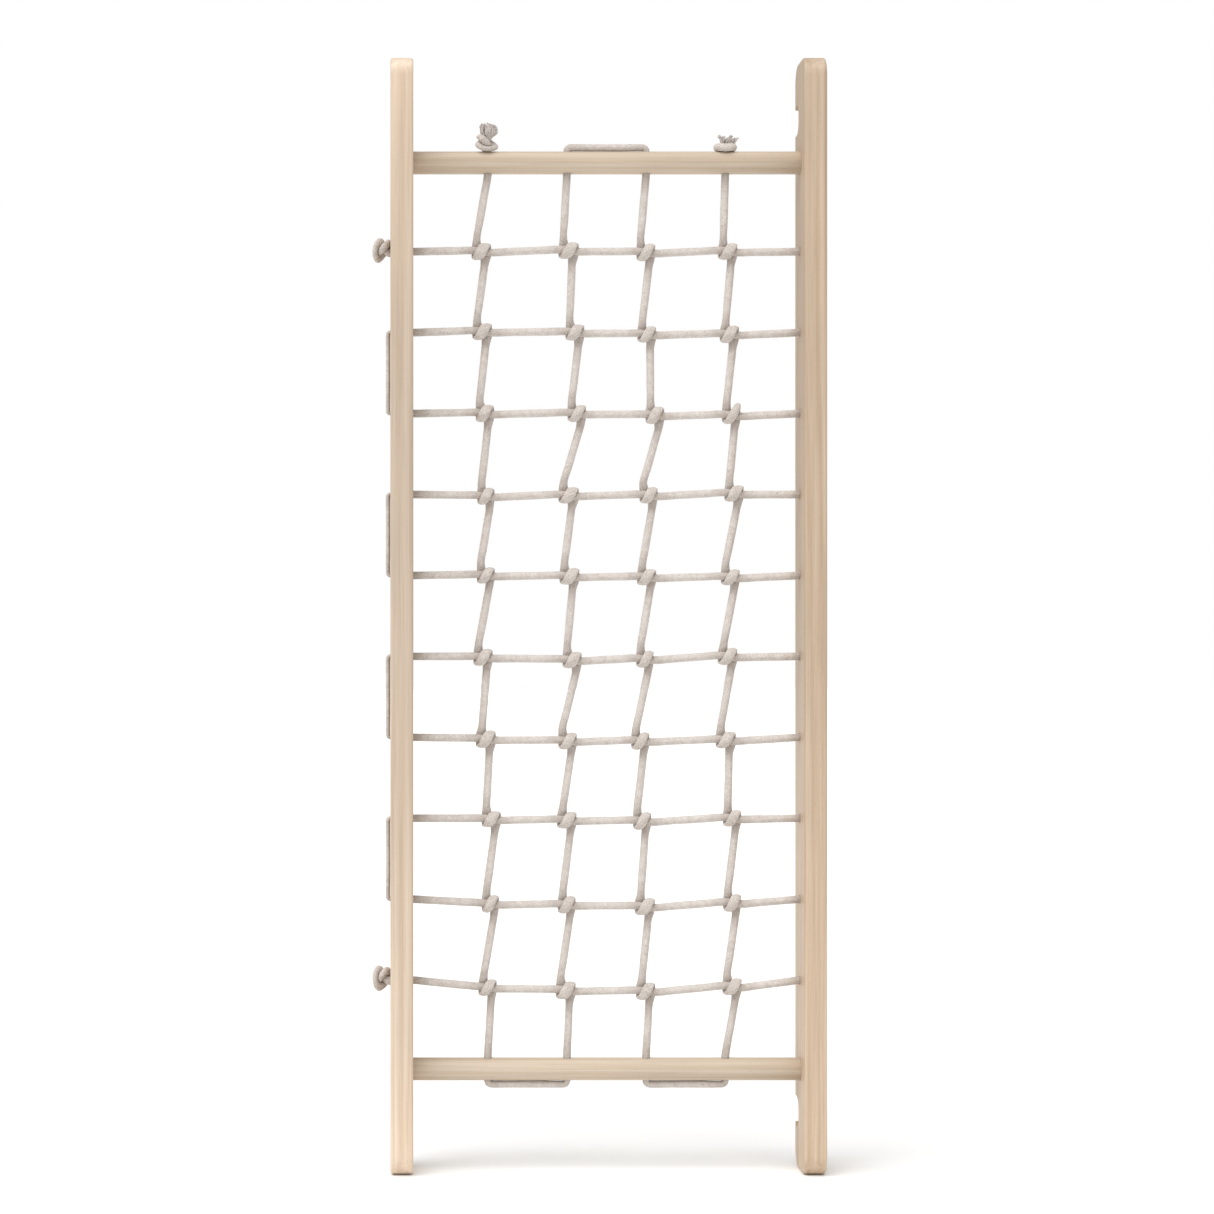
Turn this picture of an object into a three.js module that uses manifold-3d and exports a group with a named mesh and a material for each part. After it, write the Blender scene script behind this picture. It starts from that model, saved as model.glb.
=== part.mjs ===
// Climbing net panel: two wooden side rails, two round rungs, and a net tied from two cotton ropes.
// Millimetres. +X points to the right rail, +Y to the back, where the hook notches open, and +Z up.
// The origin is on the floor, under the middle of the whole panel with its knots and loops.
import * as THREE from "three";
import { mergeVertices } from "three/addons/utils/BufferGeometryUtils.js";
import Module from "manifold-3d";

// Whole panel
const panelHeight = 1220;
const panelWidth = 475; // outer face to outer face of the rails
const touchGap = 0.3; // left between pieces that touch
const cutOvershoot = 1; // how far a cutter runs past the face it opens

// Side rails
const railThickness = 25;
const railDepth = 78;
const railCornerRadius = 22; // round ends, seen from the side
const railArris = 2; // rounding of the long edges
const railArrisSteps = 2;
const railCornerSteps = 3;

// Hook notches in the back edges of the rails, one near each end
const hookOpening = 30; // takes a round bar a little smaller than this
const hookFromEnd = 63; // rail end to the middle of the opening
const hookReach = 29; // back edge to the deepest point
const hookNest = 4; // the seat's shift towards the rail end, which leaves a lip
const hookArcSteps = 5;

// Rungs
const rungDiameter = 25;
const rungFromEnd = 112; // rail end to the rung's axis
const rungSides = 24;
const socketWall = 4.4; // wood between a rung's socket and the seat of its screw head

// A screw through each rail into each rung end, with a wooden plug over its head
const screwLength = 45; // under the head
const screwDiameter = 4.5;
const screwTipLength = 6;
const screwHeadDiameter = 8.5;
const screwHeadHeight = 3;
const plugDiameter = 10;
const plugLength = 5;
const screwSides = 10;
const plugSides = 16;

// Rope and its holes
const ropeDiameter = 8.5;
const ropeSides = 8;
const ropeHoleClearance = 0.75; // all round
const ropeHoleSides = 10;

// Net
const rowCount = 10;
const rowFromRung = 97.5; // a rung's axis to the nearest rope hole in a rail
const columnCount = 4;
const columnFromRail = 82; // a rail's inner face to the nearest rope hole in a rung

// Where each crossing was tied, as [right, up] from its place on the even grid. Rows run from the top
// down and columns from left to right. Tied by hand, so uneven, and the lowest rows sag.
const knotShifts = [
  [[-7, 0], [2, 1], [0, -1], [3, 0]],
  [[-6, 1], [9, 0], [1, -2], [5, -2]],
  [[-3, 0], [11, 0], [10, -2], [7, -2]],
  [[-2, -2], [2, -1], [3, -1], [10, 1]],
  [[-2, 0], [3, -1], [1, -2], [6, -2]],
  [[-5, -1], [6, -4], [-1, -3], [3, 0]],
  [[-2, -2], [1, -4], [-6, -4], [1, -3]],
  [[4, -1], [0, -2], [-4, -3], [8, 0]],
  [[3, -5], [0, -6], [-1, -8], [8, -4]],
  [[0, -8], [-1, -11], [0, -12], [8, -7]],
];

// Each rope is one length of cord, but a solid that bows too far can't follow it closely. These are the
// knots, counted from 0, at which a sagging row is divided, and those that start each part of a column.
const rowDivisions = { 5: [1], 6: [1], 8: [1], 9: [0, 2] };
const columnDivisions = [0, 2, 4, 7];

// Crossing knots: the column rope makes a full turn round the row rope
const wrapThickness = 5; // of the squashed turn
const wrapLength = 17; // along the row rope
const wrapShoulder = 2.5; // how much thinner the turn is at its ends
const knotLead = 3.5; // the column rope arrives this far left of the knot and leaves this far right
const tailOverlap = 1.5; // how deep a column stretch runs into a knot

// Loops outside the wood, from one hole to the next
const railLoopThickness = 5; // pulled flat on the rail
const rungLoopThickness = 8;
const loopWidth = 9.5;
const loopStub = 0.3; // straight start, square to the wood
const loopBendClearance = 0.4; // between the inside of a loop's bend and the bend's centre
const loopBendSteps = 3;

// End knots, as profiles: [radius, distance from the wood]
const rowEndKnotProfile = [[0, 0], [9, 0], [12, 4], [13, 10], [11, 16], [6, 19.5], [0, 19.5]];
const tailKnotProfile = [[0, 0], [10, 0], [12.7, 5], [12, 13], [6, 19], [4.5, 32], [0, 33]];
const frayedKnotProfile = [[0, 0], [10, 0], [12.7, 3], [12, 8], [7, 11], [6, 17], [0, 18]];
const endKnotSides = 12;

const ropeRadius = ropeDiameter / 2;
const ropeHoleRadius = ropeRadius + ropeHoleClearance;
const rungRadius = rungDiameter / 2;
const railFace = panelWidth / 2; // outer face of a rail
const railInnerFace = railFace - railThickness;
const backEdge = railDepth / 2;
const rungHeights = { top: panelHeight - rungFromEnd, bottom: rungFromEnd };
const sides = { left: -1, right: 1 };
const counterboreFloor = railFace - plugLength - touchGap - screwHeadHeight - touchGap;
const socketFloor = counterboreFloor - socketWall;
const rowPitch = (rungHeights.top - rungHeights.bottom - 2 * rowFromRung) / (rowCount - 1);
const columnPitch = (2 * railInnerFace - 2 * columnFromRail) / (columnCount - 1);

const wasm = await Module();
wasm.setup();

const panel = new THREE.Group();

function wood(color) {
  return new THREE.MeshStandardMaterial({ color, roughness: 0.55, metalness: 0 });
}

function cotton() {
  return new THREE.MeshStandardMaterial({ color: "#dcd4cb", roughness: 0.95, metalness: 0 });
}

function steel() {
  return new THREE.MeshStandardMaterial({ color: "#9a9a96", roughness: 0.35, metalness: 1 });
}

// Adds one named piece to the panel.
function addPiece(name, geometry, material) {
  const mesh = new THREE.Mesh(geometry, material);
  mesh.name = name;
  panel.add(mesh);
  return mesh;
}

// Makes a closed geometry a solid that can be joined and cut.
function toSolid(geometry) {
  const bare = geometry.clone();
  bare.deleteAttribute("normal");
  bare.deleteAttribute("uv");
  const merged = mergeVertices(bare);
  const triVerts = [];
  for (let corner = 0; corner < merged.index.count; corner += 3) {
    const [a, b, c] = merged.index.array.slice(corner, corner + 3);
    if (a !== b && b !== c && c !== a) triVerts.push(a, b, c);
  }
  const vertProperties = merged.attributes.position.array;
  return new wasm.Manifold(
    new wasm.Mesh({ numProp: 3, vertProperties, triVerts: new Uint32Array(triVerts) }),
  );
}

function toGeometry(solid) {
  const mesh = solid.getMesh();
  const geometry = new THREE.BufferGeometry();
  geometry.setAttribute("position", new THREE.BufferAttribute(mesh.vertProperties, 3));
  geometry.setIndex(new THREE.BufferAttribute(mesh.triVerts, 1));
  geometry.computeVertexNormals();
  return geometry;
}

function joined(geometries) {
  return geometries.map(toSolid).reduce((whole, solid) => whole.add(solid));
}

// A round bar along X from one place to another, at a depth of 0.
function barAlongX(radius, barSides, fromX, toX, height) {
  const bar = new THREE.CylinderGeometry(radius, radius, Math.abs(toX - fromX), barSides);
  return bar.rotateZ(Math.PI / 2).translate((fromX + toX) / 2, 0, height);
}

function barAlongZ(radius, barSides, fromZ, toZ, x) {
  const bar = new THREE.CylinderGeometry(radius, radius, Math.abs(toZ - fromZ), barSides);
  return bar.rotateX(Math.PI / 2).translate(x, 0, (fromZ + toZ) / 2);
}

// Turns an outline drawn as (depth, height) and pushed along Z so that it is pushed along X.
function acrossPanel(geometry) {
  return geometry.rotateX(Math.PI / 2).rotateZ(Math.PI / 2);
}

function rowHoleHeight(row) {
  return rungHeights.top - rowFromRung - rowPitch * row;
}

function columnHoleX(column) {
  return columnPitch * column + columnFromRail - railInnerFace;
}

function knotPlace(row, column) {
  const [right, up] = knotShifts[row][column];
  return new THREE.Vector3(columnHoleX(column) + right, 0, rowHoleHeight(row) + up);
}

// Side rails ---------------------------------------------------------------------------------

function railBlank(side) {
  const left = -railDepth / 2;
  const radius = railCornerRadius;
  const outline = new THREE.Shape();
  outline.absarc(left + radius, radius, radius, Math.PI, Math.PI * 1.5);
  outline.absarc(-left - radius, radius, radius, Math.PI * 1.5, Math.PI * 2);
  outline.absarc(-left - radius, panelHeight - radius, radius, 0, Math.PI / 2);
  outline.absarc(left + radius, panelHeight - radius, radius, Math.PI / 2, Math.PI);
  const blank = new THREE.ExtrudeGeometry(outline, {
    depth: railThickness - 2 * railArris,
    bevelThickness: railArris,
    bevelSize: railArris,
    bevelOffset: -railArris,
    bevelSegments: railArrisSteps,
    curveSegments: railCornerSteps,
  });
  const middle = side * (railFace - railThickness / 2);
  const halfFlat = railThickness / 2 - railArris;
  return acrossPanel(blank).translate(middle - halfFlat, 0, 0);
}

// The notch is a slot from the back edge with a round end, widened by a seat nearer the rail's end.
function hookCutter(side, end) {
  const radius = hookOpening / 2;
  const middle = panelHeight - hookFromEnd;
  const centre = backEdge - hookReach + radius;
  const mouth = backEdge + cutOvershoot;
  const lipAngle = Math.asin((radius - hookNest) / radius);
  const path = new THREE.Path();
  path.moveTo(mouth, middle - radius);
  path.lineTo(centre, middle - radius);
  path.absarc(centre, middle, radius, -Math.PI / 2, -Math.PI, true);
  path.absarc(centre, middle + hookNest, radius, Math.PI, lipAngle, true);
  path.lineTo(mouth, middle + radius);
  const points = path.getPoints(hookArcSteps);
  const placed = points.map(({ x, y }) => new THREE.Vector2(x, end === "top" ? y : panelHeight - y));
  const depth = railThickness + 2 * cutOvershoot;
  const cutter = new THREE.ExtrudeGeometry(new THREE.Shape(placed), { depth, bevelEnabled: false });
  const middleX = side * (railFace - railThickness / 2);
  return acrossPanel(cutter).translate(middleX - depth / 2, 0, 0);
}

function railCutters(side) {
  const inner = side * (railInnerFace - cutOvershoot);
  const outer = side * (railFace + cutOvershoot);
  const cutters = [];
  for (let row = 0; row < rowCount; row += 1) {
    cutters.push(barAlongX(ropeHoleRadius, ropeHoleSides, inner, outer, rowHoleHeight(row)));
  }
  for (const [end, height] of Object.entries(rungHeights)) {
    const plugHoleRadius = plugDiameter / 2 + touchGap;
    const shankHoleRadius = screwDiameter / 2 + touchGap;
    cutters.push(hookCutter(side, end));
    cutters.push(barAlongX(rungRadius + touchGap, rungSides, inner, side * socketFloor, height));
    cutters.push(barAlongX(plugHoleRadius, plugSides, side * counterboreFloor, outer, height));
    cutters.push(barAlongX(shankHoleRadius, screwSides, inner, outer, height));
  }
  return cutters;
}

function makeRail(side) {
  const cutters = railCutters(side).map(toSolid);
  return cutters.reduce((rail, cutter) => rail.subtract(cutter), toSolid(railBlank(side)));
}

for (const [name, side] of Object.entries(sides)) {
  addPiece(`${name}_rail`, toGeometry(makeRail(side)), wood("#d3bda4"));
}

// Rungs, screws and plugs ----------------------------------------------------------------------

const rungEnd = socketFloor - touchGap;
const screwHeadSeat = counterboreFloor + touchGap; // under the head
const screwTip = screwHeadSeat - screwLength;

function makeRung(height) {
  const cutters = [];
  const above = height + rungRadius + cutOvershoot;
  const below = height - rungRadius - cutOvershoot;
  for (let column = 0; column < columnCount; column += 1) {
    cutters.push(barAlongZ(ropeHoleRadius, ropeHoleSides, below, above, columnHoleX(column)));
  }
  for (const side of Object.values(sides)) {
    const pilotRadius = screwDiameter / 2 + touchGap;
    const pilotEnd = side * (screwTip - touchGap);
    const opening = side * (rungEnd + cutOvershoot);
    cutters.push(barAlongX(pilotRadius, screwSides, pilotEnd, opening, height));
  }
  const bar = toSolid(barAlongX(rungRadius, rungSides, -rungEnd, rungEnd, height));
  return cutters.map(toSolid).reduce((rung, cutter) => rung.subtract(cutter), bar);
}

// A turned shape whose profile is [radius, distance] pairs, with its axis along Z.
function turned(profile, turnedSides) {
  const points = profile.map(([radius, distance]) => new THREE.Vector2(radius, distance));
  return new THREE.LatheGeometry(points, turnedSides).rotateX(Math.PI / 2);
}

// Points a turned shape's axis out of the panel's side, from a place on it.
function facingOut(geometry, side, from, height) {
  return geometry.rotateY((side * Math.PI) / 2).translate(side * from, 0, height);
}

function makeScrew(side, height) {
  const shank = screwDiameter / 2;
  const head = screwHeadDiameter / 2;
  const profile = [
    [0, 0],
    [shank, screwTipLength],
    [shank, screwLength],
    [head, screwLength],
    [head, screwLength + screwHeadHeight],
    [0, screwLength + screwHeadHeight],
  ];
  return facingOut(turned(profile, screwSides), side, screwTip, height);
}

for (const [end, height] of Object.entries(rungHeights)) {
  addPiece(`${end}_rung`, toGeometry(makeRung(height)), wood("#d6c6b2"));
  for (const [name, side] of Object.entries(sides)) {
    const plugStart = side * (railFace - plugLength);
    const plug = barAlongX(plugDiameter / 2, plugSides, plugStart, side * railFace, height);
    addPiece(`rung_screw_${end}_${name}`, makeScrew(side, height), steel());
    addPiece(`screw_plug_${end}_${name}`, plug, wood("#cdb496"));
  }
}

// Ropes ------------------------------------------------------------------------------------------

// A route of straight stretches, with one rope section at each of its points.
class RopeRoute extends THREE.Curve {
  constructor(points) {
    super();
    this.points = points;
  }

  getPoint(share, target = new THREE.Vector3()) {
    const place = share * (this.points.length - 1);
    const before = Math.min(Math.floor(place), this.points.length - 2);
    return target.lerpVectors(this.points[before], this.points[before + 1], place - before);
  }

  getUtoTmapping(share) {
    return share;
  }
}

// A rope of any oval section. On a route that starts along X, the first half-size lies in the route's
// plane and the second across it.
function ropeAlong(points, inPlane, across) {
  const section = new THREE.Shape();
  for (let corner = 0; corner < ropeSides; corner += 1) {
    const angle = ((corner + 0.5) / ropeSides) * Math.PI * 2;
    const place = [inPlane * Math.cos(angle), across * Math.sin(angle)];
    if (corner === 0) section.moveTo(...place);
    else section.lineTo(...place);
  }
  const steps = points.length - 1;
  return new THREE.ExtrudeGeometry(section, { steps, extrudePath: new RopeRoute(points) });
}

// Pulls a point back from the end of a stretch by half the gap between touching pieces.
function shortOf(end, other) {
  return end.clone().add(other.clone().sub(end).setLength(touchGap / 2));
}

function rowRoute(row) {
  const height = rowHoleHeight(row);
  const route = [new THREE.Vector3(-railFace, 0, height), new THREE.Vector3(-railInnerFace, 0, height)];
  for (let column = 0; column < columnCount; column += 1) {
    route.push(knotPlace(row, column));
  }
  route.push(new THREE.Vector3(railInnerFace, 0, height), new THREE.Vector3(railFace, 0, height));
  return route;
}

// One part of a row, between two points of its route. It ends half a gap short inside a knot.
function rowPart(route, first, last) {
  const points = route.slice(first, last + 1);
  if (first > 0) points[0] = shortOf(points[0], points[1]);
  if (last < route.length - 1) points.push(shortOf(points.pop(), points.at(-1)));
  return ropeAlong(points, ropeRadius, ropeRadius);
}

// The turn of a knot round its row rope, without the row rope's own space.
function knotTurn(place) {
  const outer = ropeRadius + touchGap + wrapThickness;
  const half = wrapLength / 2;
  const profile = [
    [0, -half],
    [outer - wrapShoulder, -half],
    [outer, 0],
    [outer - wrapShoulder, half],
    [0, half],
  ];
  return turned(profile, ropeSides).rotateY(Math.PI / 2).translate(place.x, place.y, place.z);
}

// The ends of each stretch of a column: through the top rung, down to the first knot, from knot to knot,
// down to the bottom rung and through it. A stretch runs into the turns of the knots at its ends.
function columnStretches(column) {
  const x = columnHoleX(column);
  const inTurn = ropeRadius + touchGap + tailOverlap;
  const underTopRung = rungHeights.top - rungRadius;
  const overBottomRung = rungHeights.bottom + rungRadius;
  let from = new THREE.Vector3(x, 0, underTopRung);
  const stretches = [[new THREE.Vector3(x, 0, rungHeights.top + rungRadius), from]];
  for (let row = 0; row < rowCount; row += 1) {
    const place = knotPlace(row, column);
    const into = place.clone().add(new THREE.Vector3(-knotLead, 0, inTurn));
    stretches.push([from, into]);
    from = place.clone().add(new THREE.Vector3(knotLead, 0, -inTurn));
  }
  const overRung = new THREE.Vector3(x, 0, overBottomRung);
  stretches.push([from, overRung]);
  stretches.push([overRung, new THREE.Vector3(x, 0, rungHeights.bottom - rungRadius)]);
  return stretches;
}

// A bend in a column where it leaves a rung is closed by a ball of rope.
function ropeBall(place) {
  const ball = new THREE.SphereGeometry(ropeRadius, ropeSides, ropeSides / 2);
  return ball.rotateX(Math.PI / 2).translate(place.x, place.y, place.z);
}

// One part of a column, with its knots. It is cut midway between two knots.
function columnPart(column, firstRow, lastRow, rowSpaces) {
  const stretches = columnStretches(column);
  const parts = stretches.slice(firstRow + 2, lastRow + 2);
  const pieces = [];
  if (firstRow === 0) {
    parts.push(...stretches.slice(0, 2));
    pieces.push(ropeBall(stretches[0][1]));
  } else {
    const [from, to] = stretches[firstRow + 1];
    parts.push([shortOf(from.clone().lerp(to, 0.5), to), to]);
  }
  if (lastRow === rowCount - 1) {
    parts.push(...stretches.slice(-2));
    pieces.push(ropeBall(stretches.at(-1)[0]));
  } else {
    const [from, to] = stretches[lastRow + 2];
    parts.push([from, shortOf(from.clone().lerp(to, 0.5), from)]);
  }
  for (let row = firstRow; row <= lastRow; row += 1) {
    pieces.push(knotTurn(knotPlace(row, column)));
  }
  pieces.push(...parts.map((ends) => ropeAlong(ends, ropeRadius, ropeRadius)));
  return rowSpaces.slice(firstRow, lastRow + 1).reduce((rope, space) => rope.subtract(space), joined(pieces));
}

const rowSpaces = [];
for (let row = 0; row < rowCount; row += 1) {
  const route = rowRoute(row);
  const knotPoints = (rowDivisions[row] ?? []).map((column) => column + 2);
  const ends = [0, ...knotPoints, route.length - 1];
  for (let part = 1; part < ends.length; part += 1) {
    const name = `row_rope_${row + 1}${ends.length > 2 ? `_part_${part}` : ""}`;
    addPiece(name, rowPart(route, ends[part - 1], ends[part]), cotton());
  }
  const spaceRadius = ropeRadius + touchGap;
  rowSpaces.push(toSolid(ropeAlong(route, spaceRadius, spaceRadius)));
}
for (let column = 0; column < columnCount; column += 1) {
  columnDivisions.forEach((firstRow, part) => {
    const lastRow = (columnDivisions[part + 1] ?? rowCount) - 1;
    const name = `column_rope_${column + 1}_part_${part + 1}`;
    addPiece(name, toGeometry(columnPart(column, firstRow, lastRow, rowSpaces)), cotton());
  });
}

// Loops and end knots ----------------------------------------------------------------------------

// Out of one hole along +X, down the wood by the span, and back into the next hole.
function loopRoute(span, thickness) {
  const bend = thickness / 2 + loopBendClearance;
  const route = [new THREE.Vector3(0, 0, 0)];
  for (let step = 0; step <= loopBendSteps; step += 1) {
    const angle = (step / loopBendSteps) * (Math.PI / 2);
    route.push(new THREE.Vector3(loopStub + bend * Math.sin(angle), 0, bend * (Math.cos(angle) - 1)));
  }
  const back = route.map(({ x, z }) => new THREE.Vector3(x, 0, -span - z)).reverse();
  return [...route, ...back];
}

function addLoop(name, thickness, span, place, turn) {
  const geometry = ropeAlong(loopRoute(span, thickness), thickness / 2, loopWidth / 2);
  const loop = addPiece(name, geometry, cotton());
  loop.position.copy(place);
  loop.rotation.copy(turn);
}

const loopsFrom = { left: 1, right: 0 }; // the first row with a loop on each side
for (const [name, side] of Object.entries(sides)) {
  for (let row = loopsFrom[name]; row + 1 < rowCount; row += 2) {
    const place = new THREE.Vector3(side * (railFace + touchGap), 0, rowHoleHeight(row));
    const turn = new THREE.Euler(0, 0, side > 0 ? 0 : Math.PI);
    addLoop(`${name}_loop_rows_${row + 1}_${row + 2}`, railLoopThickness, rowPitch, place, turn);
  }
}
for (let column = 0; column + 1 < columnCount; column += 1) {
  const onTop = column % 2 === 1;
  const end = onTop ? "top" : "bottom";
  const outward = onTop ? 1 : -1;
  const start = columnHoleX(onTop ? column : column + 1);
  const away = rungHeights[end] + outward * (rungRadius + touchGap);
  const place = new THREE.Vector3(start, 0, away);
  const turn = new THREE.Euler(0, (-outward * Math.PI) / 2, 0);
  const name = `${end}_loop_columns_${column + 1}_${column + 2}`;
  addLoop(name, rungLoopThickness, columnPitch, place, turn);
}

const rowKnotRows = { top: 0, bottom: rowCount - 1 };
for (const [end, row] of Object.entries(rowKnotRows)) {
  const knot = turned(rowEndKnotProfile, endKnotSides);
  const placed = facingOut(knot, sides.left, railFace + touchGap, rowHoleHeight(row));
  addPiece(`row_rope_end_knot_${end}`, placed, cotton());
}
const columnKnots = { left: [0, tailKnotProfile], right: [columnCount - 1, frayedKnotProfile] };
for (const [name, [column, profile]] of Object.entries(columnKnots)) {
  const foot = rungHeights.top + rungRadius + touchGap;
  const knot = turned(profile, endKnotSides).translate(columnHoleX(column), 0, foot);
  addPiece(`column_rope_end_knot_${name}`, knot, cotton());
}

// The end knots stand further out on the left than the loops do on the right.
const wholePanel = new THREE.Box3().setFromObject(panel, true);
panel.position.x = -wholePanel.getCenter(new THREE.Vector3()).x;

export default panel;
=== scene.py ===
import math
import random

import bmesh
import bpy
import numpy as np
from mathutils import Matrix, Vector


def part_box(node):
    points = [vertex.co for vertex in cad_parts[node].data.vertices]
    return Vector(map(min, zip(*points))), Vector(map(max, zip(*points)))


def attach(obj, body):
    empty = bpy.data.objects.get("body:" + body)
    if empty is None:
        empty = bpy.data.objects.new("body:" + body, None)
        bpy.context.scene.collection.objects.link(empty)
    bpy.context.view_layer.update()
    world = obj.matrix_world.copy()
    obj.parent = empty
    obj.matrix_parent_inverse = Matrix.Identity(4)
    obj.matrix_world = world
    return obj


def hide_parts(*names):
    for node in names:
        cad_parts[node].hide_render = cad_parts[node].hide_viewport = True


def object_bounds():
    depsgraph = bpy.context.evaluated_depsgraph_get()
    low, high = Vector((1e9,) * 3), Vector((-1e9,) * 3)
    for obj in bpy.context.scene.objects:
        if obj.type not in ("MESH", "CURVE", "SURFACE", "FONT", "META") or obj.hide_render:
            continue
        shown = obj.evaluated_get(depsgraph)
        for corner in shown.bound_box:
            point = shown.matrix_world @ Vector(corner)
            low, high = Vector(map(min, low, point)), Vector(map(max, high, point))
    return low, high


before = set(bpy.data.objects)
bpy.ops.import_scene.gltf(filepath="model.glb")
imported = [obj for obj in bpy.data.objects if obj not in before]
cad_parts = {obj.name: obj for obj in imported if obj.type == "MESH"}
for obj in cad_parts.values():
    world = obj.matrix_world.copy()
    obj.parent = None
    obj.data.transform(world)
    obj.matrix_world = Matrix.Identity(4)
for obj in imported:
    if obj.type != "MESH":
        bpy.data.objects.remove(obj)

# Climbing net panel: birch rails and rungs with a net tied from two cotton ropes.
# Metres. +X points to the right rail, +Y to the back and +Z up.
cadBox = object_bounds()
mm = 0.001
random.seed(11)

# Places, all from the frame
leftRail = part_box("left_rail")
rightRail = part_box("right_rail")
midX = (leftRail[0].x + rightRail[1].x) / 2
railOut = (rightRail[1].x - leftRail[0].x) / 2  # the middle to a rail's outer face
railIn = rightRail[0].x - midX  # and to its inner face
rungBoxes = {end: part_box(end + "_rung") for end in ("top", "bottom")}
rungZ = {end: (low.z + high.z) / 2 for end, (low, high) in rungBoxes.items()}
rungRadius = (rungBoxes["top"][1].z - rungBoxes["top"][0].z) / 2

net = {
    "rows": 10,
    "columns": 4,
    "rowFromRung": 97.5 * mm,  # a rung's axis to the nearest rope hole in a rail
    "columnFromRail": 82 * mm,  # a rail's inner face to the nearest rope hole in a rung
    "ropeRadius": 4.25 * mm,
    "holeRadius": 5 * mm,
    # where each crossing was tied, right and up from its place on the even grid, in millimetres
    "shifts": [
        [(-7, 0), (2, 1), (0, -1), (3, 0)],
        [(-6, 1), (9, 0), (1, -2), (5, -2)],
        [(-3, 0), (11, 0), (10, -2), (7, -2)],
        [(-2, -2), (2, -1), (3, -1), (10, 1)],
        [(-2, 0), (3, -1), (1, -2), (6, -2)],
        [(-5, -1), (6, -4), (-1, -3), (3, 0)],
        [(-2, -2), (1, -4), (-6, -4), (1, -3)],
        [(4, -1), (0, -2), (-4, -3), (8, 0)],
        [(3, -5), (0, -6), (-1, -8), (8, -4)],
        [(0, -8), (-1, -11), (0, -12), (8, -7)],
    ],
}
rowPitch = (rungZ["top"] - rungZ["bottom"] - 2 * net["rowFromRung"]) / (net["rows"] - 1)
columnPitch = (2 * railIn - 2 * net["columnFromRail"]) / (net["columns"] - 1)


def rowZ(row):
    return rungZ["top"] - net["rowFromRung"] - rowPitch * row


def columnX(column):
    return midX - railIn + net["columnFromRail"] + columnPitch * column


def knotPlace(row, column):
    right, up = net["shifts"][row][column]
    return Vector((columnX(column) + right * mm, 0, rowZ(row) + up * mm))


# The camera stands square to the panel, left of it and at half its height
view = {
    "lens": 87.3,
    "sensor": 36,
    "distance": 3.198,  # to the front edges of the rails
    "fromMiddle": -0.227,
    "height": 0.6154,
    "shift": (0.1705, 0.0033),
}


def makeCamera():
    data = bpy.data.cameras.new("camera")
    data.lens = view["lens"]
    data.sensor_width = view["sensor"]
    data.shift_x, data.shift_y = view["shift"]
    camera = bpy.data.objects.new("camera", data)
    camera.location = (midX + view["fromMiddle"], leftRail[0].y - view["distance"], view["height"])
    camera.rotation_euler = (math.pi / 2, 0, 0)
    bpy.context.scene.collection.objects.link(camera)
    bpy.context.scene.camera = camera


def linear(hexColour):
    channels = [int(hexColour[i : i + 2], 16) / 255 for i in (0, 2, 4)]
    return [c / 12.92 if c <= 0.04045 else ((c + 0.055) / 1.055) ** 2.4 for c in channels] + [1]


makeCamera()
print("camera placed")

# Adds a node, sets its inputs and properties, and links any input given as an output socket
def addNode(tree, kind, inputs=None, **settings):
    node = tree.nodes.new("ShaderNode" + kind)
    for name, value in settings.items():
        setattr(node, name, value)
    for key, value in (inputs or {}).items():
        if isinstance(value, bpy.types.NodeSocket):
            tree.links.new(value, node.inputs[key])
        else:
            node.inputs[key].default_value = value
    return node


def startMaterial(name):
    material = bpy.data.materials.new(name)
    material.use_nodes = True
    tree = material.node_tree
    return material, tree, tree.nodes["Principled BSDF"]


# A colour ramp between two or more hex colours
def ramp(tree, factor, stops):
    node = addNode(tree, "ValToRGB", {"Fac": factor})
    elements = node.color_ramp.elements
    while len(elements) < len(stops):
        elements.new(0.5)
    for element, (position, colour) in zip(elements, stops):
        element.position = position
        element.color = linear(colour) if isinstance(colour, str) else (colour, colour, colour, 1)
    return node.outputs["Color"]


def blend(tree, kind, factor, first, second):
    node = addNode(tree, "Mix", data_type="RGBA", blend_type=kind)
    for index, value in ((0, factor), (6, first), (7, second)):
        if isinstance(value, bpy.types.NodeSocket):
            tree.links.new(value, node.inputs[index])
        else:
            node.inputs[index].default_value = value
    return node.outputs[2]


# Birch, planed or turned, then sanded and wiped with clear oil: pale pinkish cream and even, with fine
# straight grain, faint darker growth bands, short pore flecks and a soft satin gloss.
birch = {
    "grainWidth": 0.9 * mm,
    "grainLength": 70 * mm,
    "bandWidth": 6 * mm,
    "bandLength": 420 * mm,
    "fleckWidth": 0.5 * mm,
    "fleckLength": 5 * mm,
    "roughness": (0.44, 0.6),
    "grainDepth": 0.05 * mm,
}


# Object coordinates drawn out along the grain, so that one unit is one width across it
def grainPlaces(tree, axis, width, length, offset=0.0):
    places = addNode(tree, "TexCoord").outputs["Object"]
    scale = [1 / width] * 3
    scale["XYZ".index(axis)] = 1 / length
    return addNode(
        tree, "Mapping", {"Vector": places, "Scale": scale, "Location": [offset] * 3}
    ).outputs["Vector"]


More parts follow.
